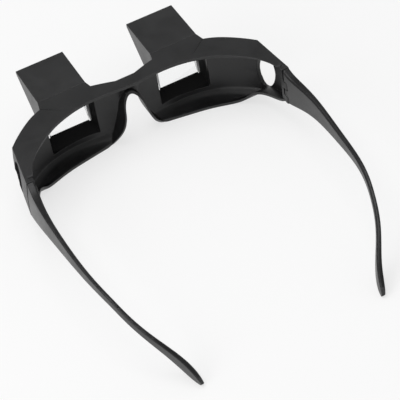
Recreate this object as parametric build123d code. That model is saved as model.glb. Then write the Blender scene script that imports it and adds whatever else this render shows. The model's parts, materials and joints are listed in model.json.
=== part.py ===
from build123d import *
import math
import os

# Prism bed glasses. Lengths are in millimetres.
# X runs to the wearer's left, Y to the temple tips, Z up. The glasses stand on the front's lower edge and
# the temple tips, at Z = 0. Inside this script Y is measured from the hinge split plane.

# Whole object
front_height = 40.0       # table to the brow shelf and the housing roofs
temple_reach = 132.4      # hinge plane to the temple tips
overrun = 6.0             # how far a cutting shape passes the surface that it cuts

# Front frame
hinge_half_width = 75.0   # centre plane to the outer top corner at the hinge split
wrap_taper = 3.5          # how much narrower the front is at the corner where it turns into the side
wrap_depth = 26.8         # hinge plane to that corner
brow_depth = 48.0         # hinge plane to the most forward point of the brow
brow_scoop = 6.0          # how far the brow falls back over the nose
bridge_half_width = 5.5   # flat stretch of the brow over the nose
front_bulge = 2.4         # how far the panel swells out of the brow line
front_wall = 1.8
shelf_thickness = 1.6
shelf_width = 13.7        # most forward point of the brow to the shelf's rear edge at the nose
lip_thickness = 1.8       # turned-in lip along the lower edge
cove_radius = 4.5         # hollow round between the panel and the lip
side_rise_depth = 34.0    # hinge plane to where the lower edge starts to rise to the hinge

# Nose arch
nose_half_width = 15.4    # half the gap at the table, without the rounding of its corners
nose_height = 30.6
nose_flange_length = 8.6  # from the brow over the nose to the flange's rearmost point
nose_flange_wall = 1.8

# Prisms and what holds them
eye_spacing = 66.0        # centre to centre of the two prisms
prism_width = 22.9
prism_height = 24.0       # the same as its length from the eye side to the front edge
prism_bevel = 0.8
prism_gap = 0.3           # air between the prism's rear face and the glued face
prism_side_gap = 1.2
tape_thickness = 1.0
tape_margin = 2.0         # how far the tape stays inside the prism's top face
strip_height = 3.0
strip_depth = 2.0

# Prism housings
housing_wall = 1.2
roof_thickness = 1.6
housing_lip = 2.0         # height of the blunt front edge
housing_nose_room = 4.3   # free length between the prism's front edge and the front wall
housing_skirt = 5.0       # how far the side walls reach below the prism at the rear

# Windows and the bosses that the housings are glued to
boss_step = 2.6           # how far the glued face stands in front of the brow
boss_rise = 0.4           # how far the boss reaches below the housing's side walls
boss_flare = 2.6          # how much wider the boss is at its root
window_depth = 5.6        # glued face to the rear edge of the window
boss_reach = 4.0          # how far the boss runs on behind that edge, to meet the panel
boss_sill = 1.2           # its wall below the window's rear edge
window_rim = 0.95         # width of the glued face beside the window
window_flare = 3.0        # how much wider the window is at its rear edge
window_sill_drop = 5.4    # how much lower its sill is there
window_top_margin = 3.0   # solid stretch over the window at the glued face
window_lip = 0.4          # the same below the shelf at the window's rear edge

# Oval side windows
oval_depth = 21.4         # hinge plane to the oval's centre
oval_drop = 17.3          # brow shelf to the oval's centre
oval_length = 28.0
oval_width = 14.4
oval_tilt = 18.5          # degrees

# Hinges
hinge_drop = 1.8          # how much lower the top edge is at the split than at the wrap corner
hinge_height = 21.7
hinge_gap = 0.3           # open slit between frame and temple
hinge_block_length = 7.0
hinge_block_taper = 2.5   # length of the block that has its full thickness
knuckle_radius = 1.7      # knuckles lie flush with the inner face
knuckle_front_gap = 0.25  # between the temple's knuckle and the frame's end
knuckle_height = 4.7      # each knuckle, from below: frame, temple, frame
knuckle_gap = 0.2         # running gap between knuckles
knuckle_root = 3.7        # how far the neck of a frame's knuckle runs forward from the axis
swing_gap = 0.3           # running gap round a knuckle

# Hinge screws and inserts
screw_radius = 0.6
screw_clearance = 0.05
screw_head_radius = 1.1
screw_head_height = 0.7
screw_head_recess = 0.9
screw_slot_width = 0.3
screw_slot_depth = 0.3
screw_tip_gap = 0.3       # free pocket past the screw's end
insert_radius = 1.05
insert_length = 3.4

# Temples
temple_thickness = 4.1    # at the hinge, along the top edge
temple_flare = 2.2        # how much further out the lower edge lies at the hinge
temple_chamfer = 0.8      # along the inner top edge
tip_lean = 15.0           # degrees that the ear hook's lower edge turns in

# Derived places
flare_mid_share = 0.75    # part of the flare reached at half height
side_rise_middle_share = (0.65, 0.5)   # middle of the rising lower edge: of its length and of its height
wrap_half_width = hinge_half_width - wrap_taper
bridge_depth = brow_depth - brow_scoop
shelf_rear_depth = brow_depth - shelf_width
shelf_under = front_height - shelf_thickness
eye_x = eye_spacing / 2
joint_depth = brow_depth + boss_step
prism_top = front_height - roof_thickness - tape_thickness
prism_low = prism_top - prism_height
housing_width = prism_width + 2 * (prism_side_gap + housing_wall)
housing_length = prism_gap + prism_height + housing_nose_room + housing_wall
front_reach = joint_depth + housing_length
housing_heel = prism_low - housing_skirt
boss_bottom = housing_heel - boss_rise
window_near_depth = joint_depth - window_depth
window_far_width = housing_width - 2 * window_rim
window_near_width = window_far_width + window_flare
hinge_inner_half_width = hinge_half_width - temple_thickness
hinge_top = front_height - hinge_drop
hinge_bottom = hinge_top - hinge_height
hinge_middle = (hinge_top + hinge_bottom) / 2
pin_half_width = hinge_inner_half_width + knuckle_radius
pin_set_back = knuckle_radius + knuckle_front_gap - hinge_gap / 2


# Outline of the brow, from the flat over the nose to the wrap corner: shares of the half width and the depth
brow_shares = ((0.20, 0.938), (0.33, 0.985), (0.47, 1.0), (0.62, 0.962), (0.74, 0.892), (0.86, 0.765),
               (0.94, 0.655))
# How much of an outward bulge the panel takes at the nose flat and at each point of the brow
swell_shares = (0.9, 0.7, -0.1, -0.6, -0.4, 0.0, 0.5, 0.9)
# Rear edge of the shelf, nose to hinge: shares of the wrap half width and of its depth at the nose
shelf_shares = ((0.0, 1.0), (0.17, 1.03), (0.265, 1.04), (0.36, 1.03), (0.46, 0.995), (0.56, 0.93),
                (0.66, 0.835), (0.76, 0.69), (0.85, 0.535), (0.92, 0.37), (0.965, 0.19))
# Rear edge of the lower lip, nose to hinge: shares of the wrap half width and of the brow's depth
lip_shares = ((0.0, 0.85), (0.2, 0.825), (0.42, 0.77), (0.56, 0.73), (0.70, 0.665), (0.81, 0.57),
              (0.89, 0.44), (0.95, 0.24))
# Rear edge of the nose flange from the side, table to top: shares of the arch's height and the flange length
flange_shares = ((0.0, 0.27), (0.14, 0.52), (0.27, 0.75), (0.45, 0.97), (0.62, 1.0), (0.82, 0.80),
                 (1.0, 0.47), (1.1, 0.33))
# Section of the panel: shares of the front height and of the bulge
panel_shares = ((0.0, -2.2), (0.03, -1.35), (0.075, -0.45), (0.14, 0.3), (0.24, 0.75), (0.4, 1.0),
                (0.6, 0.92), (0.8, 0.55), (1.0, 0.0))
# Heights of the sections through the cove, as shares of its radius
cove_shares = (0.0, 0.07, 0.2, 0.4, 0.68, 1.0)
# Arm from hinge to tip. Shares of its reach, of the hinge's half width and middle height, of the hinge's
# height, thickness and flare, and of the tip's lean
temple_shares = ((0.0, 1.0, 1.0, 1.0, 1.0, 1.0, 0.0),
                 (0.075, 1.017, 0.998, 0.77, 0.95, 0.62, 0.0),
                 (0.18, 1.031, 1.054, 0.60, 0.76, 0.30, 0.0),
                 (0.34, 1.026, 1.073, 0.41, 0.61, 0.12, 0.0),
                 (0.53, 1.002, 1.095, 0.265, 0.54, 0.06, 0.0),
                 (0.665, 0.958, 1.028, 0.215, 0.53, 0.04, 0.1),
                 (0.77, 0.895, 0.819, 0.215, 0.55, 0.04, 0.4),
                 (0.853, 0.814, 0.585, 0.27, 0.60, 0.04, 0.8),
                 (0.93, 0.725, 0.272, 0.36, 0.66, 0.04, 1.0),
                 (0.982, 0.686, 0.095, 0.27, 0.56, 0.04, 1.0),
                 (1.0, 0.675, 0.033, 0.15, 0.40, 0.04, 1.0))
# How far the wrap corner swells outwards and forwards, as shares of the bulge
corner_swell_shares = (0.5, 0.9)
# Nose arch, table to top: shares of its half width and height
nose_shares = ((1.27, 0.0), (1.06, 0.016), (0.92, 0.055), (0.81, 0.12), (0.70, 0.205), (0.60, 0.31),
               (0.48, 0.48), (0.385, 0.67), (0.27, 0.88))


def front_outline(bulge, inset):
    # Half outline of the front from above, swollen by the bulge and then inset, nose to past the hinge
    side_slope = wrap_taper / wrap_depth
    points = [(bridge_half_width, -bridge_depth)]
    points += [(x * wrap_half_width, -y * brow_depth) for x, y in brow_shares]
    points.append((wrap_half_width, -wrap_depth))
    points.append((hinge_half_width + side_slope * overrun, overrun))
    moved = []
    for i, (x, y) in enumerate(points):
        before = points[max(i - 1, 0)] if i else (0, y)
        after = points[min(i + 1, len(points) - 1)]
        along = Vector(after[0] - before[0], after[1] - before[1])
        if i == len(points) - 2:
            ahead = Vector(after[0] - x, after[1] - y).normalized()
            along = Vector(x - before[0], y - before[1]).normalized() + ahead
        along = along.normalized()
        take = swell_shares[i] if bulge > 0 and i < len(swell_shares) else 1
        swell = (along.Y * take, along.X * take)
        if i == len(points) - 2:
            swell = corner_swell_shares
        moved.append((x + swell[0] * bulge - along.Y * inset, y - swell[1] * bulge + along.X * inset))
    return moved


def mirrored_x(points):
    return [(-x, y) for x, y in reversed(points)]


def plan_face(bulge, inset, height):
    # Filled outline of the whole front at one height, closed behind the hinges
    right = front_outline(bulge, inset)
    left = mirrored_x(right)
    brow_right = Spline(*[(x, y, height) for x, y in right[:-1]])
    brow_left = Spline(*[(x, y, height) for x, y in left[1:]])
    edges = [brow_right, Line((*right[-2], height), (*right[-1], height)),
             Line((*right[-1], height), (*left[0], height)),
             Line((*left[0], height), (*left[1], height)), brow_left,
             Line((*left[-1], height), (*right[0], height))]
    return Face(Wire(edges))


def panel_swell(height):
    # Bulge at a height, straight between the sections of the panel
    for (low, low_swell), (high, high_swell) in zip(panel_shares, panel_shares[1:]):
        part = (height / front_height - low) / (high - low)
        if part <= 1:
            return front_bulge * (low_swell + part * (high_swell - low_swell))
    return front_bulge * high_swell


def panel_skin():
    sections = [plan_face(swell * front_bulge, 0, z * front_height) for z, swell in panel_shares]
    return loft(sections, ruled=True)


def panel_room():
    # Space behind the panel, narrowed by the cove above the lip
    heights = [z * front_height for z, swell in panel_shares]
    heights += [lip_thickness + share * cove_radius for share in cove_shares]
    sections = []
    for height in sorted(set(heights)):
        below = min(max(lip_thickness + cove_radius - height, 0), cove_radius)
        cove = cove_radius - math.sqrt(cove_radius ** 2 - below ** 2)
        sections.append(plan_face(panel_swell(height), front_wall + cove, height))
    return loft(sections, ruled=True)


def shelf_plate(height):
    # Brow shelf seen from above, between the brow line and the shelf's rear edge
    outer = front_outline(0, 0)
    rear = [(x * wrap_half_width, -y * shelf_rear_depth) for x, y in shelf_shares]
    rear.append((hinge_inner_half_width, 0))
    rear_line = mirrored_x(rear)[:-1] + rear
    side_right = (hinge_half_width, 0)
    side_left = (-hinge_half_width, 0)
    edges = [Spline(*rear_line), Line(rear[-1], side_right), Line(side_right, outer[-2]),
             Spline(*reversed(outer[:-1])), Line(outer[0], (-outer[0][0], outer[0][1])),
             Spline(*reversed(mirrored_x(outer)[1:])), Line((-outer[-2][0], outer[-2][1]), side_left),
             Line(side_left, rear_line[0])]
    return extrude(Face(Wire(edges)), height, dir=(0, 0, 1))


def side_region():
    # Side silhouette of the front: level top that falls to the hinge, lower edge that rises to it
    end = -hinge_gap / 2
    ahead = -(joint_depth + overrun)
    along, up = side_rise_middle_share
    rise = Spline((0, -side_rise_depth, 0), (0, -side_rise_depth * along, hinge_bottom * up),
                  (0, end, hinge_bottom), tangents=[(0, 1, 0), (0, 1, 1)])
    points = [(0, end, hinge_bottom), (0, end, hinge_top), (0, -wrap_depth, front_height),
              (0, ahead, front_height), (0, ahead, 0), (0, -side_rise_depth, 0)]
    outline = Wire([rise] + [Line(a, b) for a, b in zip(points, points[1:])])
    half = hinge_half_width + overrun
    return Pos(-half, 0, 0) * extrude(Face(outline), 2 * half, dir=(1, 0, 0))


def nose_face(grow):
    # Arch seen from the front, grown outwards for the flange and open past the table
    half = nose_half_width + grow
    height = nose_height + grow
    right = [(x * half, 0, z * height) for x, z in nose_shares]
    left = [(-x, 0, z) for x, y, z in reversed(right)]
    corners = [left[-1], (left[-1][0], 0, -overrun), (right[0][0], 0, -overrun), right[0]]
    foot = [Line(a, b) for a, b in zip(corners, corners[1:])]
    return Face(Wire([Spline(*(right + [(0, 0, height)] + left))] + foot))


def along_y(face, start, end):
    return Pos(0, start, 0) * extrude(face, end - start, dir=(0, 1, 0))


def nose_flange():
    # Collar of the arch, deepest at half height, seen from the side as the area in front of a curve
    edge = [(0, y * nose_flange_length - bridge_depth, z * nose_height) for z, y in flange_shares]
    ahead = -(joint_depth + overrun)
    corners = [edge[-1], (0, ahead, edge[-1][2]), (0, ahead, 0), edge[0]]
    outline = Wire([Spline(*edge)] + [Line(a, b) for a, b in zip(corners, corners[1:])])
    half = nose_half_width + nose_flange_wall
    side = Pos(-half, 0, 0) * extrude(Face(outline), 2 * half, dir=(1, 0, 0))
    return along_y(nose_face(nose_flange_wall), -joint_depth, nose_flange_length - bridge_depth) & side


def lip_plan(corners):
    # Area on one side of the lip's rear edge, from above
    rear = [(x * wrap_half_width, -y * brow_depth) for x, y in lip_shares]
    rear.append((hinge_inner_half_width, 0))
    ring = [rear[-1], *corners, rear[0]]
    return Face(Wire([Spline(*rear)] + [Line(a, b) for a, b in zip(ring, ring[1:])]))


def lower_lip(skin, region):
    # Lip turned in along the lower edge, from the nose to the hinge
    outer = hinge_half_width + temple_flare + overrun
    plan = lip_plan([(outer, 0), (outer, -joint_depth), (0, -joint_depth)])
    band = region - Pos(0, 0, lip_thickness) * region
    return both(extrude(plan, front_height, dir=(0, 0, 1)) & band & skin)


def behind_lip():
    # What the cove loses behind the lip's rear edge
    plan = lip_plan([(0, 0)])
    return Pos(0, 0, -overrun) * both(extrude(plan, overrun + lip_thickness + cove_radius, dir=(0, 0, 1)))


def upright_face(x, y, width, bottom, top):
    # Rectangle that faces along Y
    return (Pos(x, y, (bottom + top) / 2) * (Plane.XZ * Rectangle(width, top - bottom))).face()


def window_funnel():
    near = upright_face(eye_x, -window_near_depth, window_near_width, prism_low - window_sill_drop,
                        shelf_under - window_lip)
    far = upright_face(eye_x, -joint_depth, window_far_width, prism_low, front_height - window_top_margin)
    opening = loft([near, far])
    opening += extrude(near, window_near_depth - side_rise_depth, dir=(0, 1, 0))
    opening += extrude(far, overrun, dir=(0, -1, 0))
    return opening


def window_boss():
    low = min(boss_bottom, prism_low - window_sill_drop - boss_sill)
    root = upright_face(eye_x, -window_near_depth, housing_width + boss_flare, low, front_height)
    seat = upright_face(eye_x, -joint_depth, housing_width, boss_bottom, front_height)
    return loft([root, seat]) + extrude(root, boss_reach, dir=(0, 1, 0))


def oval_cut():
    ellipse = Plane.YZ * Rot(0, 0, -oval_tilt) * Ellipse(oval_width / 2, oval_length / 2)
    middle = front_height - oval_drop
    return Pos(wrap_half_width - overrun, -oval_depth, middle) * extrude(ellipse, 2 * overrun, dir=(1, 0, 0))


def on_axis(radius, bottom, top):
    # Upright cylinder on the left hinge axis
    return Pos(pin_half_width, pin_set_back, (bottom + top) / 2) * Cylinder(radius, top - bottom)


def knuckle(level):
    # One of three knuckles on the axis
    bottom = hinge_bottom + level * (knuckle_height + knuckle_gap)
    return on_axis(knuckle_radius, bottom, bottom + knuckle_height)


def knuckle_neck(level):
    # What joins one of the frame's knuckles to the end of the side wall
    bottom = hinge_bottom + level * (knuckle_height + knuckle_gap)
    neck = Box(2 * knuckle_radius, knuckle_root, knuckle_height, align=(Align.CENTER, Align.MAX, Align.MIN))
    return Pos(pin_half_width, pin_set_back, bottom) * neck


def knuckle_pocket(level):
    # Room in the temple for one of the frame's knuckles and for its root while the temple swings in
    bottom = hinge_bottom + level * (knuckle_height + knuckle_gap) - knuckle_gap
    height = knuckle_height + 2 * knuckle_gap
    reach = knuckle_radius + swing_gap
    depth = pin_set_back + reach
    inner = Box(knuckle_radius + overrun, depth, height, align=(Align.MAX, Align.MIN, Align.MIN))
    outer = Box(reach, pin_set_back, height, align=(Align.MIN, Align.MIN, Align.MIN))
    return on_axis(reach, bottom, bottom + height) + Pos(pin_half_width, 0, bottom) * (inner + outer)


def inner_corner():
    # What the temple's end loses on its inner side, so that it turns clear of the frame
    height = hinge_height + overrun
    block = Box(knuckle_radius + overrun, pin_set_back, height, align=(Align.MAX, Align.MIN, Align.MIN))
    round_end = on_axis(knuckle_radius, hinge_bottom, hinge_bottom + height)
    return Pos(pin_half_width, 0, hinge_bottom) * block - round_end


def hinge_block():
    # Thickened end of the side wall, seen from above, before it is trimmed to the outer skin
    outer = hinge_half_width + temple_flare + overrun
    end = -hinge_gap / 2
    points = [(hinge_inner_half_width, end), (outer, end), (outer, -hinge_block_length),
              (hinge_half_width + front_bulge - front_wall, -hinge_block_length),
              (hinge_inner_half_width, -hinge_block_taper)]
    outline = make_face(Polyline(*points, close=True))
    return Pos(0, 0, hinge_bottom - overrun) * extrude(outline, hinge_height + overrun)


def both(shape):
    return shape + mirror(shape, Plane.YZ)


def front_frame():
    skin = panel_skin()
    room = panel_room()
    region = side_region()
    arch = along_y(nose_face(0), -joint_depth - overrun, nose_flange_length - bridge_depth + overrun)
    shape = skin - arch - room - behind_lip()
    shape += Pos(0, 0, shelf_under) * shelf_plate(shelf_thickness)
    shape += both(window_boss() - room)
    shape += both(hinge_block() & skin)
    shape += (nose_flange() - arch) & skin
    shape &= region
    shape += lower_lip(skin, region) - arch
    shape -= both(window_funnel())
    shape -= both(oval_cut())
    for level in (0, 2):
        shape += both(knuckle(level) + knuckle_neck(level))
    lower_top = hinge_bottom + knuckle_height
    pocket_bottom = hinge_bottom + 2 * (knuckle_height + knuckle_gap)
    below = hinge_bottom - overrun
    shape -= both(on_axis(screw_radius + screw_clearance, below, lower_top + knuckle_gap))
    shape -= both(on_axis(screw_head_radius + screw_clearance, below, hinge_bottom + screw_head_recess))
    pocket_top = pocket_bottom + insert_length
    shape -= both(on_axis(insert_radius + screw_clearance, pocket_bottom - knuckle_gap, pocket_top))
    return shape


def prism_housing():
    rear = -joint_depth
    front = -front_reach
    outer = [(0, rear, front_height), (0, front, front_height), (0, front, front_height - housing_lip),
             (0, rear, housing_heel)]
    shape = extrude(Face(Polyline(*outer, close=True)), housing_width, dir=(1, 0, 0))
    under = front_height - roof_thickness
    cavity = Box(housing_width - 2 * housing_wall, housing_length - housing_wall + overrun, under + overrun,
                 align=(Align.MIN, Align.MIN, Align.MAX))
    shape -= Pos(housing_wall, front + housing_wall, under) * cavity
    return Pos(eye_x - housing_width / 2, 0, 0) * shape


def prism():
    # Right-angled wedge with blunted edges: rear face upright, top face level, third face at 45 degrees
    rear = -joint_depth - prism_gap
    far = rear - prism_height
    outline = [(0, rear, prism_top), (0, far, prism_top), (0, far, prism_top - prism_bevel),
               (0, rear - prism_bevel, prism_low), (0, rear, prism_low)]
    wedge = extrude(Face(Polyline(*outline, close=True)), prism_width, dir=(1, 0, 0))
    return Pos(eye_x - prism_width / 2, 0, 0) * wedge


def roof_tape():
    length = prism_height - 2 * tape_margin
    middle = -joint_depth - prism_gap - prism_height / 2
    level = prism_top + tape_thickness / 2
    return Pos(eye_x, middle, level) * Box(prism_width - 2 * tape_margin, length, tape_thickness)


def sill_strip():
    level = prism_low - strip_height / 2
    return Pos(eye_x, -joint_depth - strip_depth / 2, level) * Box(prism_width, strip_depth, strip_height)


def hinge_screw():
    head_top = hinge_bottom + screw_head_recess
    head_bottom = head_top - screw_head_height
    tip = hinge_bottom + 2 * (knuckle_height + knuckle_gap) + insert_length - screw_tip_gap
    shape = on_axis(screw_radius, head_top, tip) + on_axis(screw_head_radius, head_bottom, head_top)
    slot = Box(2 * screw_head_radius, screw_slot_width, screw_slot_depth)
    return shape - Pos(pin_half_width, pin_set_back, head_bottom + screw_slot_depth / 2) * slot


def hinge_insert():
    bottom = hinge_bottom + 2 * (knuckle_height + knuckle_gap)
    shape = on_axis(insert_radius, bottom, bottom + insert_length)
    return shape - on_axis(screw_radius + screw_clearance, bottom, bottom + insert_length)


def temple_places():
    # Middle of the arm's section at each station, hinge to tip
    start = hinge_gap / 2
    middle = hinge_half_width - temple_thickness / 2
    return [Vector(x * middle, start + y * (temple_reach - start), z * hinge_middle)
            for y, x, z, *rest in temple_shares]


def temple_section(index, places):
    # Section square to the arm: straight inner face, level edges, rounded outer face that flares downwards
    height_share, thickness_share, flare_share, lean_share = temple_shares[index][-4:]
    before = places[max(index - 1, 0)]
    after = places[min(index + 1, len(places) - 1)]
    along = (after - before).normalized() if index else Vector(0, 1, 0)
    outward = Vector(along.Y, -along.X, 0).normalized()
    plane = Plane(origin=places[index], x_dir=outward, z_dir=along * -1)
    plane = plane.rotated((0, 0, -tip_lean * lean_share))
    half = hinge_height * height_share / 2
    thick = temple_thickness * thickness_share / 2
    flare = temple_flare * flare_share
    up = 1 if plane.y_dir.Z > 0 else -1
    inner_low = plane.from_local_coords(Vector(-thick, -half * up, 0))
    inner_top = plane.from_local_coords(Vector(-thick, half * up - temple_chamfer * up, 0))
    chamfer_top = plane.from_local_coords(Vector(-thick + temple_chamfer, half * up, 0))
    outer_top = plane.from_local_coords(Vector(thick, half * up, 0))
    outer_mid = plane.from_local_coords(Vector(thick + flare_mid_share * flare, 0, 0))
    outer_low = plane.from_local_coords(Vector(thick + flare, -half * up, 0))
    return Face(Wire([Line(inner_low, inner_top), Line(inner_top, chamfer_top), Line(chamfer_top, outer_top),
                      ThreePointArc(outer_top, outer_mid, outer_low), Line(outer_low, inner_low)]))


def temple():
    places = temple_places()
    shape = loft([temple_section(i, places) for i in range(len(places))])
    shape -= inner_corner()
    shape -= knuckle_pocket(0) + knuckle_pocket(2)
    shape += knuckle(1)
    bottom = hinge_bottom + knuckle_height
    shape -= on_axis(screw_radius + screw_clearance, bottom, bottom + knuckle_height + 2 * knuckle_gap)
    floor = Box(2 * (hinge_half_width + overrun), 2 * (temple_reach + overrun), overrun,
                align=(Align.CENTER, Align.CENTER, Align.MAX))
    return shape - floor


left_parts = {
    "prism_housing": prism_housing(),
    "prism": prism(),
    "roof_tape": roof_tape(),
    "sill_strip": sill_strip(),
    "hinge_screw": hinge_screw(),
    "hinge_insert": hinge_insert(),
    "temple": temple(),
}
parts = {"front_frame": front_frame()}
for name, shape in left_parts.items():
    parts[name + "_left"] = shape
    parts[name + "_right"] = mirror(shape, Plane.YZ)

# The origin is the middle of the whole object's footprint
box = Compound([shape.solid() for shape in parts.values()]).bounding_box()
os.makedirs("parts", exist_ok=True)
for name, shape in parts.items():
    print(name, len(shape.solids()), round(shape.volume, 1), shape.is_valid)
    export_step(Pos(0, -box.center().Y, 0) * shape.solid(), "parts/" + name + ".step")
print("size", box.size, "hinge plane at", -box.center().Y)
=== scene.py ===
import json
import math

import bpy
from mathutils import Matrix, Vector


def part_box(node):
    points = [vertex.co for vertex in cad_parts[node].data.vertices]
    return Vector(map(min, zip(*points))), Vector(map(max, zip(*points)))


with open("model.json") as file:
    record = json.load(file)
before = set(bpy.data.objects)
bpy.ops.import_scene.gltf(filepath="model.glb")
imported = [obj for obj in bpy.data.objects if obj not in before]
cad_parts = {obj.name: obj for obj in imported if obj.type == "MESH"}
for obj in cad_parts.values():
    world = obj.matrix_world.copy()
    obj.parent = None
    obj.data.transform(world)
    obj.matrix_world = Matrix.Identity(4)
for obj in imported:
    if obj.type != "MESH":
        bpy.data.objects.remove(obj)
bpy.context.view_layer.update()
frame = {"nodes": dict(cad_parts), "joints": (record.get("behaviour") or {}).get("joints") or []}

bpy.ops.object.select_all(action="DESELECT")
hingeSetBack = 0.0018   # hinge axis behind the slit between front and temples
splitPlane = frame["joints"][0]["pos_m"][1] - hingeSetBack
print("frame loaded")


# Node helpers

def newMaterial(name):
    material = bpy.data.materials.new(name)
    material.use_nodes = True
    material.node_tree.nodes.clear()
    return material


def addNode(tree, kind, place, **values):
    node = tree.nodes.new(kind)
    node.location = place
    for key, value in values.items():
        setattr(node, key, value)
    return node


def setInputs(node, **values):
    for key, value in values.items():
        node.inputs[key.replace("_", " ")].default_value = value


def newGroup(name, inputs, outputs):
    group = bpy.data.node_groups.new(name, "ShaderNodeTree")
    for label, kind, value in inputs:
        socket = group.interface.new_socket(label, in_out="INPUT", socket_type=kind)
        socket.default_value = value
    for label, kind in outputs:
        group.interface.new_socket(label, in_out="OUTPUT", socket_type=kind)
    start = addNode(group, "NodeGroupInput", (-900, 0))
    end = addNode(group, "NodeGroupOutput", (900, 0))
    return group, start, end


# Shared surface effects

grainSettings = {
    "fineDetail": 3.0, "fineRoughness": 0.6, "pitSmoothness": 0.6, "pitShare": 0.45,
    "slowDetail": 4.0, "slowRoughness": 0.55, "slowDistortion": 0.4,
    "patchRange": (0.32, 0.68), "speckRange": (0.56, 0.74),
}
cornerRubAndHighlightSettings = {
    "samples": 6, "agreement": (0.995, 0.86), "breakScale": 420.0, "breakDetail": 3.0,
    "breakRoughness": 0.6, "breakRange": (0.38, 0.62), "leastBreak": 0.35,
}


def makeMouldGrain(settings):
    # Spark-eroded mould texture: two sizes of fine noise, and slow patches of uneven gloss
    group, start, end = newGroup(
        "mouldGrain",
        [("Grain Size", "NodeSocketFloat", 0.0003), ("Patch Size", "NodeSocketFloat", 0.012)],
        [("Height", "NodeSocketFloat"), ("Patches", "NodeSocketFloat"), ("Specks", "NodeSocketFloat")])
    link = group.links.new
    place = addNode(group, "ShaderNodeTexCoord", (-900, -200))
    perGrain = addNode(group, "ShaderNodeMath", (-700, 100), operation="DIVIDE")
    perGrain.inputs[0].default_value = 1.0
    link(start.outputs["Grain Size"], perGrain.inputs[1])
    perPatch = addNode(group, "ShaderNodeMath", (-700, -100), operation="DIVIDE")
    perPatch.inputs[0].default_value = 1.0
    link(start.outputs["Patch Size"], perPatch.inputs[1])
    fine = addNode(group, "ShaderNodeTexNoise", (-450, 200))
    setInputs(fine, Detail=settings["fineDetail"], Roughness=settings["fineRoughness"])
    link(place.outputs["Object"], fine.inputs["Vector"])
    link(perGrain.outputs[0], fine.inputs["Scale"])
    pits = addNode(group, "ShaderNodeTexVoronoi", (-450, 0), feature="SMOOTH_F1")
    setInputs(pits, Smoothness=settings["pitSmoothness"])
    link(place.outputs["Object"], pits.inputs["Vector"])
    link(perGrain.outputs[0], pits.inputs["Scale"])
    height = addNode(group, "ShaderNodeMath", (-150, 120), operation="MULTIPLY_ADD")
    height.inputs[1].default_value = settings["pitShare"]
    link(pits.outputs["Distance"], height.inputs[0])
    link(fine.outputs["Fac"], height.inputs[2])
    slow = addNode(group, "ShaderNodeTexNoise", (-450, -250))
    setInputs(slow, Detail=settings["slowDetail"], Roughness=settings["slowRoughness"],
              Distortion=settings["slowDistortion"])
    link(place.outputs["Object"], slow.inputs["Vector"])
    link(perPatch.outputs[0], slow.inputs["Scale"])
    spread = addNode(group, "ShaderNodeMapRange", (-150, -250))
    setInputs(spread, From_Min=settings["patchRange"][0], From_Max=settings["patchRange"][1])
    link(slow.outputs["Fac"], spread.inputs["Value"])
    specks = addNode(group, "ShaderNodeMapRange", (-150, -80))
    setInputs(specks, From_Min=settings["speckRange"][0], From_Max=settings["speckRange"][1])
    link(fine.outputs["Fac"], specks.inputs["Value"])
    link(height.outputs[0], end.inputs["Height"])
    link(spread.outputs["Result"], end.inputs["Patches"])
    link(specks.outputs["Result"], end.inputs["Specks"])
    return group


def makeCornerRubAndHighlight(settings):
    # Mask of the corners, for their rubbed gloss and their painted highlight: where a rounded normal leaves the true
    # one, broken up by noise
    group, start, end = newGroup(
        "cornerRubAndHighlight",
        [("Width", "NodeSocketFloat", 0.0006), ("Amount", "NodeSocketFloat", 0.6)],
        [("Mask", "NodeSocketFloat")])
    link = group.links.new
    rounded = addNode(group, "ShaderNodeBevel", (-650, 150), samples=settings["samples"])
    link(start.outputs["Width"], rounded.inputs["Radius"])
    true = addNode(group, "ShaderNodeNewGeometry", (-650, -50))
    agree = addNode(group, "ShaderNodeVectorMath", (-400, 100), operation="DOT_PRODUCT")
    link(rounded.outputs["Normal"], agree.inputs[0])
    link(true.outputs["True Normal"], agree.inputs[1])
    leave = addNode(group, "ShaderNodeMapRange", (-200, 100))
    setInputs(leave, From_Min=settings["agreement"][0], From_Max=settings["agreement"][1])
    link(agree.outputs["Value"], leave.inputs["Value"])
    place = addNode(group, "ShaderNodeTexCoord", (-650, -300))
    breaks = addNode(group, "ShaderNodeTexNoise", (-400, -250))
    setInputs(breaks, Scale=settings["breakScale"], Detail=settings["breakDetail"],
              Roughness=settings["breakRoughness"])
    link(place.outputs["Object"], breaks.inputs["Vector"])
    uneven = addNode(group, "ShaderNodeMapRange", (-200, -250))
    setInputs(uneven, From_Min=settings["breakRange"][0], From_Max=settings["breakRange"][1],
              To_Min=settings["leastBreak"])
    link(breaks.outputs["Fac"], uneven.inputs["Value"])
    broken = addNode(group, "ShaderNodeMath", (50, 0), operation="MULTIPLY")
    link(leave.outputs["Result"], broken.inputs[0])
    link(uneven.outputs["Result"], broken.inputs[1])
    scaled = addNode(group, "ShaderNodeMath", (250, 0), operation="MULTIPLY")
    link(broken.outputs[0], scaled.inputs[0])
    link(start.outputs["Amount"], scaled.inputs[1])
    link(scaled.outputs[0], end.inputs["Mask"])
    return group


mouldGrain = makeMouldGrain(grainSettings)
cornerRubAndHighlight = makeCornerRubAndHighlight(cornerRubAndHighlightSettings)


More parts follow.
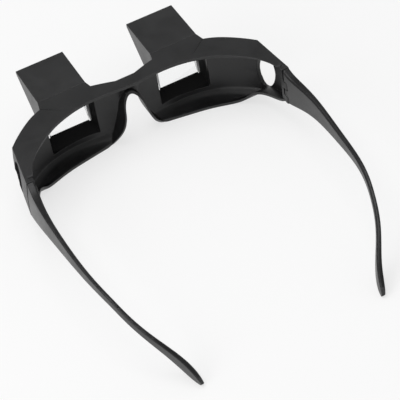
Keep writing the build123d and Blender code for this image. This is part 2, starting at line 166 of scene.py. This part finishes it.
def plasticMaterial(name, settings):
    # Dyed-through moulded plastic: grain in the normal, uneven gloss, glossier rubbed corners whose paler colour is
    # a painted highlight
    material = newMaterial(name)
    tree = material.node_tree
    link = tree.links.new
    grain = addNode(tree, "ShaderNodeGroup", (-900, 0), node_tree=mouldGrain)
    setInputs(grain, Grain_Size=settings["grainSize"], Patch_Size=settings["patchSize"])
    rubAndHighlight = addNode(tree, "ShaderNodeGroup", (-900, -300), node_tree=cornerRubAndHighlight)
    setInputs(rubAndHighlight, Width=settings["rubAndHighlightWidth"], Amount=settings["rubAndHighlightAmount"])
    body = addNode(tree, "ShaderNodeMix", (-600, 200), data_type="RGBA")
    body.inputs["A"].default_value = (*settings["darkColor"], 1)
    body.inputs["B"].default_value = (*settings["paleColor"], 1)
    link(grain.outputs["Patches"], body.inputs["Factor"])
    specked = addNode(tree, "ShaderNodeMix", (-350, 200), data_type="RGBA")
    specked.inputs["B"].default_value = (*settings["speckColor"], 1)
    link(grain.outputs["Specks"], specked.inputs["Factor"])
    link(body.outputs["Result"], specked.inputs["A"])
    # Corners are painted paler: a painted highlight along the edges
    highlighted = addNode(tree, "ShaderNodeMix", (-100, 200), data_type="RGBA")
    highlighted.inputs["B"].default_value = (*settings["paintedHighlightColor"], 1)
    link(rubAndHighlight.outputs["Mask"], highlighted.inputs["Factor"])
    link(specked.outputs["Result"], highlighted.inputs["A"])
    gloss = addNode(tree, "ShaderNodeMapRange", (-350, -50))
    setInputs(gloss, To_Min=settings["roughness"][0], To_Max=settings["roughness"][1])
    link(grain.outputs["Patches"], gloss.inputs["Value"])
    polished = addNode(tree, "ShaderNodeMath", (-100, -50), operation="MULTIPLY_ADD")
    polished.inputs[1].default_value = -settings["rubPolish"]
    link(rubAndHighlight.outputs["Mask"], polished.inputs[0])
    link(gloss.outputs["Result"], polished.inputs[2])
    bump = addNode(tree, "ShaderNodeBump", (-100, -300))
    setInputs(bump, Strength=settings["bumpStrength"], Distance=settings["bumpDepth"])
    link(grain.outputs["Height"], bump.inputs["Height"])
    shader = addNode(tree, "ShaderNodeBsdfPrincipled", (200, 0))
    setInputs(shader, IOR=settings["ior"], Specular_IOR_Level=settings["specular"])
    link(highlighted.outputs["Result"], shader.inputs["Base Color"])
    link(polished.outputs[0], shader.inputs["Roughness"])
    link(bump.outputs["Normal"], shader.inputs["Normal"])
    out = addNode(tree, "ShaderNodeOutputMaterial", (500, 0))
    link(shader.outputs["BSDF"], out.inputs["Surface"])
    return material


def dress(name, material):
    node = frame["nodes"][name]
    node.data.materials.clear()
    node.data.materials.append(material)
    for polygon in node.data.polygons:
        polygon.material_index = 0
    return node


cornerSettings = {"mergeDistance": 0.000002, "segments": 2, "angle": 32, "weight": 60}


def roundCorners(node, width, settings):
    # Moulded corners: the loose triangles are joined, then corners rounded and the shading evened
    weld = node.modifiers.new("join", "WELD")
    weld.merge_threshold = settings["mergeDistance"]
    bevel = node.modifiers.new("corners", "BEVEL")
    bevel.width = width
    bevel.segments = settings["segments"]
    bevel.limit_method = "ANGLE"
    bevel.angle_limit = math.radians(settings["angle"])
    bevel.use_clamp_overlap = False
    bevel.miter_outer = "MITER_ARC"
    shade = node.modifiers.new("shading", "WEIGHTED_NORMAL")
    shade.keep_sharp = False
    shade.weight = settings["weight"]


# Front frame

# The front frame's colours are darker than the housings': painted shade for the inner panel under the shelf. The
# temples take the same darker colours.
frontLook = {
    "darkColor": (0.0065, 0.0066, 0.007), "paleColor": (0.0105, 0.0106, 0.0112), "speckColor": (0.024, 0.024, 0.025),
    "paintedHighlightColor": (0.09, 0.09, 0.092), "grainSize": 0.00035, "patchSize": 0.014, "rubAndHighlightWidth": 0.0006,
    "rubAndHighlightAmount": 0.35, "rubPolish": 0.12, "roughness": (0.4, 0.5), "bumpStrength": 0.25, "bumpDepth": 0.00004,
    "specular": 0.45, "ior": 1.52,
}
frontShadedPlastic = plasticMaterial("frontShadedPlastic", frontLook)
dress("front_frame", frontShadedPlastic)
print("front frame dressed")


# Window tunnels: a darker, matter copy of the plastic as painted shade in the recesses

tunnelShadeLook = dict(frontLook, darkColor=(0.004, 0.004, 0.0042), paleColor=(0.006, 0.006, 0.0063),
                  speckColor=(0.012, 0.012, 0.0125), roughness=(0.7, 0.85), specular=0.2, rubAndHighlightAmount=0.1)
tunnelShadeSettings = {"halfWidth": 0.0145, "below": 0.0058, "rearward": 0.0056, "above": 0.0003, "facing": 0.5}


def paintTunnelShade(settings):
    # Faces round the line of sight from the prism back to the panel, which face that line, get the painted shade
    shadePaint = plasticMaterial("tunnelPaintedShade", tunnelShadeLook)
    front = frame["nodes"]["front_frame"]
    front.data.materials.append(shadePaint)
    for side in ("left", "right"):
        low, high = (Vector(corner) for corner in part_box("prism_" + side))
        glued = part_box("prism_housing_" + side)[1][1]
        middle = (low + high) / 2
        for polygon in front.data.polygons:
            x, y, z = polygon.center
            inward = Vector((middle.x - x, 0, middle.z - z)).normalized()
            inside = abs(x - middle.x) < settings["halfWidth"] and glued < y < glued + settings["rearward"]
            level = low.z - settings["below"] < z < high.z + settings["above"]
            if inside and level and polygon.normal.dot(inward) > settings["facing"]:
                polygon.material_index = 1


paintTunnelShade(tunnelShadeSettings)
print("tunnels painted")


# Prism housings

housingLook = dict(frontLook, darkColor=(0.0105, 0.0106, 0.0111), paleColor=(0.0155, 0.0156, 0.0163),
                   roughness=(0.34, 0.44), specular=0.5)
housingPlastic = plasticMaterial("housingPlastic", housingLook)
for side in ("left", "right"):
    dress("prism_housing_" + side, housingPlastic)
print("housings dressed")


# Temples

templeLook = dict(frontLook, roughness=(0.3, 0.4), bumpStrength=0.18, specular=0.36)
templePlastic = plasticMaterial("templePlastic", templeLook)
for side in ("left", "right"):
    dress("temple_" + side, templePlastic)
print("temples dressed")


# Prisms

glassLook = {
    "name": "prismGlass", "color": (0.99, 0.995, 0.995), "roughness": (0.0, 0.03), "ior": 1.52,
    "smearScale": 90.0, "smearDetail": 4.0, "smearDistortion": 1.2, "smearRange": (0.45, 0.8),
}
groundLook = dict(glassLook, name="groundGlass", color=(0.8, 0.81, 0.82), roughness=(0.45, 0.65))
groundFacing = 0.9   # a prism's side faces point along X at least this far, and are ground


def glassMaterial(settings):
    material = newMaterial(settings["name"])
    tree = material.node_tree
    link = tree.links.new
    place = addNode(tree, "ShaderNodeTexCoord", (-900, 0))
    smear = addNode(tree, "ShaderNodeTexNoise", (-700, 0))
    setInputs(smear, Scale=settings["smearScale"], Detail=settings["smearDetail"],
              Distortion=settings["smearDistortion"])
    link(place.outputs["Object"], smear.inputs["Vector"])
    film = addNode(tree, "ShaderNodeMapRange", (-450, 0))
    setInputs(film, From_Min=settings["smearRange"][0], From_Max=settings["smearRange"][1],
              To_Min=settings["roughness"][0], To_Max=settings["roughness"][1])
    link(smear.outputs["Fac"], film.inputs["Value"])
    shader = addNode(tree, "ShaderNodeBsdfPrincipled", (0, 0))
    setInputs(shader, Base_Color=(*settings["color"], 1), IOR=settings["ior"], Transmission_Weight=1.0,
              Metallic=0.0)
    link(film.outputs["Result"], shader.inputs["Roughness"])
    out = addNode(tree, "ShaderNodeOutputMaterial", (300, 0))
    link(shader.outputs["BSDF"], out.inputs["Surface"])
    return material


prismGlass = glassMaterial(glassLook)
groundGlass = glassMaterial(groundLook)
for side in ("left", "right"):
    prism = dress("prism_" + side, prismGlass)
    prism.data.materials.append(groundGlass)
    for polygon in prism.data.polygons:
        polygon.material_index = int(abs(polygon.normal.x) > groundFacing)
print("prisms dressed")


# Foam tape and sill strips

foamLook = {"darkColor": (0.008, 0.008, 0.0085), "paleColor": (0.02, 0.02, 0.021), "cellSize": 0.0005,
            "bumpStrength": 0.8, "roughness": 0.92, "sheen": 0.1}


def foamMaterial(settings):
    material = newMaterial("blackFoam")
    tree = material.node_tree
    link = tree.links.new
    place = addNode(tree, "ShaderNodeTexCoord", (-900, 0))
    cells = addNode(tree, "ShaderNodeTexVoronoi", (-700, 0))
    setInputs(cells, Scale=1 / settings["cellSize"])
    link(place.outputs["Object"], cells.inputs["Vector"])
    tone = addNode(tree, "ShaderNodeMix", (-400, 100), data_type="RGBA")
    tone.inputs["A"].default_value = (*settings["darkColor"], 1)
    tone.inputs["B"].default_value = (*settings["paleColor"], 1)
    link(cells.outputs["Distance"], tone.inputs["Factor"])
    bump = addNode(tree, "ShaderNodeBump", (-400, -200))
    setInputs(bump, Strength=settings["bumpStrength"], Distance=settings["cellSize"] / 2)
    link(cells.outputs["Distance"], bump.inputs["Height"])
    shader = addNode(tree, "ShaderNodeBsdfPrincipled", (0, 0))
    setInputs(shader, Roughness=settings["roughness"], Sheen_Weight=settings["sheen"])
    link(tone.outputs["Result"], shader.inputs["Base Color"])
    link(bump.outputs["Normal"], shader.inputs["Normal"])
    out = addNode(tree, "ShaderNodeOutputMaterial", (300, 0))
    link(shader.outputs["BSDF"], out.inputs["Surface"])
    return material


blackFoam = foamMaterial(foamLook)
for side in ("left", "right"):
    dress("roof_tape_" + side, blackFoam)
    dress("sill_strip_" + side, blackFoam)
print("foam dressed")


# Hinge screws and inserts

turnedLook = {"ringScale": 1400.0, "ringDistortion": 1.5, "ringDetail": 2.0, "spotScale": 900.0,
              "spotDetail": 4.0, "spotShade": 0.8, "bumpStrength": 0.3, "bumpDepth": 0.00002}
metalLooks = {
    "hinge_screw_": dict(turnedLook, color=(0.52, 0.52, 0.53), roughness=(0.24, 0.42)),
    "hinge_insert_": dict(turnedLook, color=(0.72, 0.55, 0.28), roughness=(0.22, 0.38)),
}


def turnedMetal(name, settings):
    # Small turned part: fine rings about the axis and scattered dull spots
    material = newMaterial(name)
    tree = material.node_tree
    link = tree.links.new
    place = addNode(tree, "ShaderNodeTexCoord", (-900, 0))
    rings = addNode(tree, "ShaderNodeTexWave", (-650, 100), wave_type="BANDS", bands_direction="Z")
    setInputs(rings, Scale=settings["ringScale"], Distortion=settings["ringDistortion"],
              Detail=settings["ringDetail"])
    link(place.outputs["Object"], rings.inputs["Vector"])
    spots = addNode(tree, "ShaderNodeTexNoise", (-650, -150))
    setInputs(spots, Scale=settings["spotScale"], Detail=settings["spotDetail"])
    link(place.outputs["Object"], spots.inputs["Vector"])
    gloss = addNode(tree, "ShaderNodeMapRange", (-350, -100))
    setInputs(gloss, To_Min=settings["roughness"][0], To_Max=settings["roughness"][1])
    link(spots.outputs["Fac"], gloss.inputs["Value"])
    bump = addNode(tree, "ShaderNodeBump", (-350, -300))
    setInputs(bump, Strength=settings["bumpStrength"], Distance=settings["bumpDepth"])
    link(rings.outputs["Fac"], bump.inputs["Height"])
    tone = addNode(tree, "ShaderNodeMix", (-350, 150), data_type="RGBA")
    tone.inputs["A"].default_value = (*settings["color"], 1)
    tone.inputs["B"].default_value = (*[c * settings["spotShade"] for c in settings["color"]], 1)
    link(spots.outputs["Fac"], tone.inputs["Factor"])
    shader = addNode(tree, "ShaderNodeBsdfPrincipled", (0, 0))
    setInputs(shader, Metallic=1.0)
    link(tone.outputs["Result"], shader.inputs["Base Color"])
    link(gloss.outputs["Result"], shader.inputs["Roughness"])
    link(bump.outputs["Normal"], shader.inputs["Normal"])
    out = addNode(tree, "ShaderNodeOutputMaterial", (300, 0))
    link(shader.outputs["BSDF"], out.inputs["Surface"])
    return material


for start, look in metalLooks.items():
    metal = turnedMetal(start.replace("hinge_", "").replace("_", "") + "Metal", look)
    for side in ("left", "right"):
        dress(start + side, metal)
print("metal dressed")


# Corners

cornerWidths = {"front_frame": 0.00018, "prism_housing_left": 0.00018, "prism_housing_right": 0.00018,
                "temple_left": 0.00035, "temple_right": 0.00035}
for name, width in cornerWidths.items():
    roundCorners(frame["nodes"][name], width, cornerSettings)
print("corners rounded")


# Floor, light and camera

stageLook = {"floorColor": (0.86, 0.86, 0.86), "seenColor": (1.0, 1.0, 1.0), "seenShare": 0.66,
             "worldLight": 0.5, "worldSeen": 0.97, "ceilingSeen": 0.27, "ceilingFrom": 0.6, "floorSize": 6.0}


def seenMask(tree, place):
    # 1 for rays that show the background itself: straight, reflected or refracted
    path = addNode(tree, "ShaderNodeLightPath", place)
    both = addNode(tree, "ShaderNodeMath", (place[0] + 200, place[1]), operation="MAXIMUM")
    tree.links.new(path.outputs["Is Camera Ray"], both.inputs[0])
    tree.links.new(path.outputs["Is Glossy Ray"], both.inputs[1])
    third = addNode(tree, "ShaderNodeMath", (place[0] + 400, place[1]), operation="MAXIMUM")
    tree.links.new(both.outputs[0], third.inputs[0])
    tree.links.new(path.outputs["Is Transmission Ray"], third.inputs[1])
    return third.outputs[0]


def makeFloor(settings):
    bpy.ops.mesh.primitive_plane_add(size=settings["floorSize"], location=(0, 0, 0))
    floor = bpy.context.object
    floor.name = "studioFloor"
    material = newMaterial("paleFloor")
    tree = material.node_tree
    link = tree.links.new
    matte = addNode(tree, "ShaderNodeBsdfDiffuse", (0, 100))
    matte.inputs["Color"].default_value = (*settings["floorColor"], 1)
    glow = addNode(tree, "ShaderNodeEmission", (0, -100))
    glow.inputs["Color"].default_value = (*settings["seenColor"], 1)
    share = addNode(tree, "ShaderNodeMath", (0, 300), operation="MULTIPLY")
    share.inputs[1].default_value = settings["seenShare"]
    link(seenMask(tree, (-700, 300)), share.inputs[0])
    mix = addNode(tree, "ShaderNodeMixShader", (250, 0))
    link(share.outputs[0], mix.inputs["Fac"])
    link(matte.outputs["BSDF"], mix.inputs[1])
    link(glow.outputs["Emission"], mix.inputs[2])
    out = addNode(tree, "ShaderNodeOutputMaterial", (500, 0))
    link(mix.outputs["Shader"], out.inputs["Surface"])
    floor.data.materials.append(material)


def makeWorld(settings):
    world = bpy.data.worlds.new("studioWorld")
    world.use_nodes = True
    tree = world.node_tree
    tree.nodes.clear()
    link = tree.links.new
    # Gloss sees a white horizon that falls to a greyer ceiling; the camera and the glass see plain white
    path = addNode(tree, "ShaderNodeLightPath", (-900, 0))
    ray = addNode(tree, "ShaderNodeTexCoord", (-1100, -300))
    parts = addNode(tree, "ShaderNodeSeparateXYZ", (-900, -300))
    link(ray.outputs["Generated"], parts.inputs["Vector"])
    room = addNode(tree, "ShaderNodeMapRange", (-700, -300))
    setInputs(room, From_Max=settings["ceilingFrom"], To_Min=settings["worldSeen"], To_Max=settings["ceilingSeen"])
    link(parts.outputs["Z"], room.inputs["Value"])
    gloss = addNode(tree, "ShaderNodeMix", (-450, -100))
    gloss.inputs["A"].default_value = settings["worldLight"]
    link(path.outputs["Is Glossy Ray"], gloss.inputs["Factor"])
    link(room.outputs["Result"], gloss.inputs["B"])
    straight = addNode(tree, "ShaderNodeMath", (-450, 150), operation="MAXIMUM")
    link(path.outputs["Is Camera Ray"], straight.inputs[0])
    link(path.outputs["Is Transmission Ray"], straight.inputs[1])
    strength = addNode(tree, "ShaderNodeMix", (-200, 0))
    strength.inputs["B"].default_value = settings["worldSeen"]
    link(straight.outputs[0], strength.inputs["Factor"])
    link(gloss.outputs["Result"], strength.inputs["A"])
    sky = addNode(tree, "ShaderNodeBackground", (250, 0))
    sky.inputs["Color"].default_value = (1, 1, 1, 1)
    link(strength.outputs["Result"], sky.inputs["Strength"])
    out = addNode(tree, "ShaderNodeOutputWorld", (500, 0))
    link(sky.outputs["Background"], out.inputs["Surface"])
    bpy.context.scene.world = world


lamps = {
    "overheadSoftbox": {"place": (0.15, -0.1, 1.1), "size": 0.9, "power": 6.5},
    "sideSoftbox": {"place": (1.0, 0.35, 0.5), "size": 0.7, "power": 3.5},
}
lampAim = Vector((0, 0, 0.02))


def makeLamps(settings):
    for name, lamp in settings.items():
        data = bpy.data.lights.new(name, "AREA")
        data.energy = lamp["power"]
        data.size = lamp["size"]
        light = bpy.data.objects.new(name, data)
        light.location = lamp["place"]
        toward = lampAim - light.location
        light.rotation_euler = toward.to_track_quat("-Z", "Y").to_euler()
        bpy.context.scene.collection.objects.link(light)


cameraSettings = {"place": (0.2108, 0.6183, 0.6351), "yaw": -19.953, "pitch": 45.082, "roll": 10.297,
                  "lens": 156.2, "sensor": 36.0, "shift": (0.00125, -0.002)}   # place is from the slit plane


def makeCamera(settings):
    yaw, pitch, roll = (math.radians(settings[name]) for name in ("yaw", "pitch", "roll"))
    ahead = Vector((math.sin(yaw) * math.cos(pitch), -math.cos(yaw) * math.cos(pitch), -math.sin(pitch)))
    level = Vector((-math.cos(yaw), -math.sin(yaw), 0))
    lower = ahead.cross(level)
    right = level * math.cos(roll) + lower * math.sin(roll)
    down = lower * math.cos(roll) - level * math.sin(roll)
    data = bpy.data.cameras.new("photoCamera")
    data.lens = settings["lens"]
    data.sensor_width = settings["sensor"]
    data.shift_x, data.shift_y = settings["shift"]
    camera = bpy.data.objects.new("photoCamera", data)
    turn = Matrix((right, -down, -ahead)).transposed().to_4x4()
    x, y, z = settings["place"]
    camera.matrix_world = Matrix.Translation((x, y + splitPlane, z)) @ turn
    bpy.context.scene.collection.objects.link(camera)
    bpy.context.scene.camera = camera


makeFloor(stageLook)
makeWorld(stageLook)
makeLamps(lamps)
makeCamera(cameraSettings)
bpy.context.scene.view_settings.view_transform = "Standard"
print("stage set")
